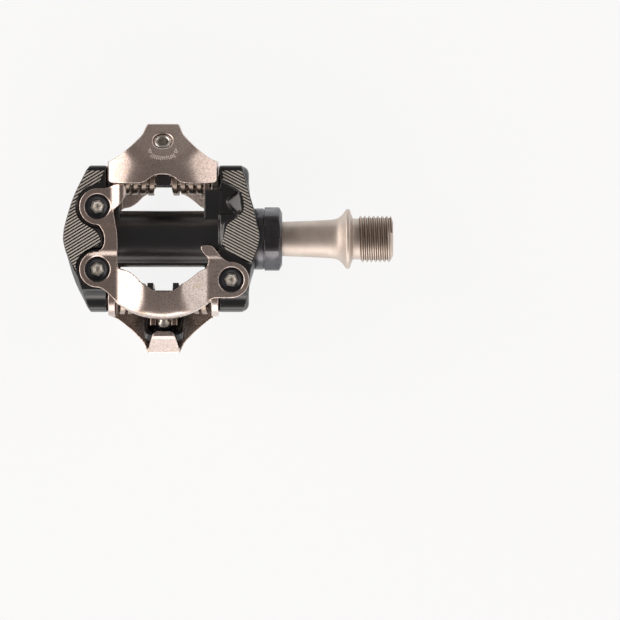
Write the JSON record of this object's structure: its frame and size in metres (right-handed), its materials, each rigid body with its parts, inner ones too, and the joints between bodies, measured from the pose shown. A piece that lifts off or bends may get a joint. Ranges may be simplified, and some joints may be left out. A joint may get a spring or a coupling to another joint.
{
  "type": "clipless pedal",
  "caption": "Double-sided clipless bicycle pedal: H-shaped body on a threaded spindle, fixed front claws and sprung rear claws with tension screws.",
  "frame": {"origin": "on the spindle axis, at the flange's flat shoulder face that meets the crank arm", "axes": "+X along the spindle towards the crank, +Y to the back of the top binding side, +Z out of the top binding side"},
  "size_m": [0.0959, 0.0668, 0.032],
  "materials": {
    "body_black": "satin black paint on cast alloy",
    "claw_plate": "satin bronze-tinted nickel plating",
    "spindle_steel": "fine turned steel, warm plating",
    "spring_wire": "bronze-tinted wire",
    "black_screw": "black oxide",
    "black_steel": "gloss black",
    "black_resin": "black resin",
    "pin_steel": "plain steel",
    "bolt_steel": "bright zinc",
    "bearing_steel": "polished bearing steel",
    "sleeve_alloy": "turned alloy",
    "bush_resin": "white bearing resin",
    "seal_rubber": "soft black rubber"
  },
  "bodies": {
    "spindle": {"spindle": "pin_steel", "bearing_cone": "bearing_steel", "lock_washer": "bearing_steel", "cone_locknut": "bearing_steel"},
    "bearing_balls": {"inner_balls": "bearing_steel", "outer_balls": "bearing_steel"},
    "pedal_body": {"body_casting": "body_black", "bearing_sleeve": "sleeve_alloy", "plain_bush": "bush_resin", "lock_collar": "black_resin", "axle_seal": "seal_rubber", "top_front_claw": "claw_plate", "top_claw_screws": "black_screw", "top_pivot_pin": "pin_steel", "top_spring_spacer": "black_resin", "top_outboard_spring": "spring_wire", "top_inboard_spring": "spring_wire", "bottom_front_claw": "claw_plate", "bottom_claw_screws": "black_screw", "bottom_pivot_pin": "pin_steel", "bottom_spring_spacer": "black_resin", "bottom_outboard_spring": "spring_wire", "bottom_inboard_spring": "spring_wire"},
    "top_claw": {"top_rear_claw": "claw_plate"},
    "top_bolt": {"top_tension_bolt": "bolt_steel"},
    "top_bracket": {"top_tension_bracket": "black_steel"},
    "bottom_claw": {"bottom_rear_claw": "claw_plate"},
    "bottom_bolt": {"bottom_tension_bolt": "bolt_steel"},
    "bottom_bracket": {"bottom_tension_bracket": "black_steel"}
  },
  "joints": [
    {"name": "pedal_spin", "type": "hinge", "parent": "spindle", "child": "pedal_body", "pos_m": [-0.055, 0, 0], "axis": [1, 0, 0], "continuous": true},
    {"name": "ball_roll", "type": "hinge", "parent": "spindle", "child": "bearing_balls", "pos_m": [-0.055, 0, 0], "axis": [1, 0, 0], "continuous": true},
    {"name": "top_claw_pivot", "type": "hinge", "parent": "pedal_body", "child": "top_claw", "pos_m": [-0.055, 0.0168, 0], "axis": [-1, 0, 0], "range_deg": [0, 18], "stiffness_Nm_per_rad": 1.5, "springref_deg": -17.19, "deforming": ["top_outboard_spring", "top_inboard_spring"]},
    {"name": "top_bolt_turn", "type": "hinge", "parent": "top_claw", "child": "top_bolt", "pos_m": [-0.055, 0.0285, 0.00859], "axis": [0, -0.6157, -0.788], "range_deg": [0, 1080]},
    {"name": "top_bracket_slide", "type": "slide", "parent": "top_claw", "child": "top_bracket", "axis": [0, 0.6157, 0.788], "range_m": [0, 0.00209]},
    {"name": "bottom_claw_pivot", "type": "hinge", "parent": "pedal_body", "child": "bottom_claw", "pos_m": [-0.055, -0.0168, 0], "axis": [-1, 0, 0], "range_deg": [0, 18], "stiffness_Nm_per_rad": 1.5, "springref_deg": -17.19, "deforming": ["bottom_outboard_spring", "bottom_inboard_spring"]},
    {"name": "bottom_bolt_turn", "type": "hinge", "parent": "bottom_claw", "child": "bottom_bolt", "pos_m": [-0.055, -0.0285, -0.00859], "axis": [0, 0.6157, 0.788], "range_deg": [0, 1080]},
    {"name": "bottom_bracket_slide", "type": "slide", "parent": "bottom_claw", "child": "bottom_bracket", "axis": [0, -0.6157, -0.788], "range_m": [0, 0.00209]}
  ],
  "couplings": [
    {"joint": "ball_roll", "follows": "pedal_spin", "ratio": 0.59},
    {"joint": "top_bolt_turn", "follows": "top_bracket_slide", "rad_per_m": 8976},
    {"joint": "bottom_bolt_turn", "follows": "bottom_bracket_slide", "rad_per_m": 8976}
  ]
}
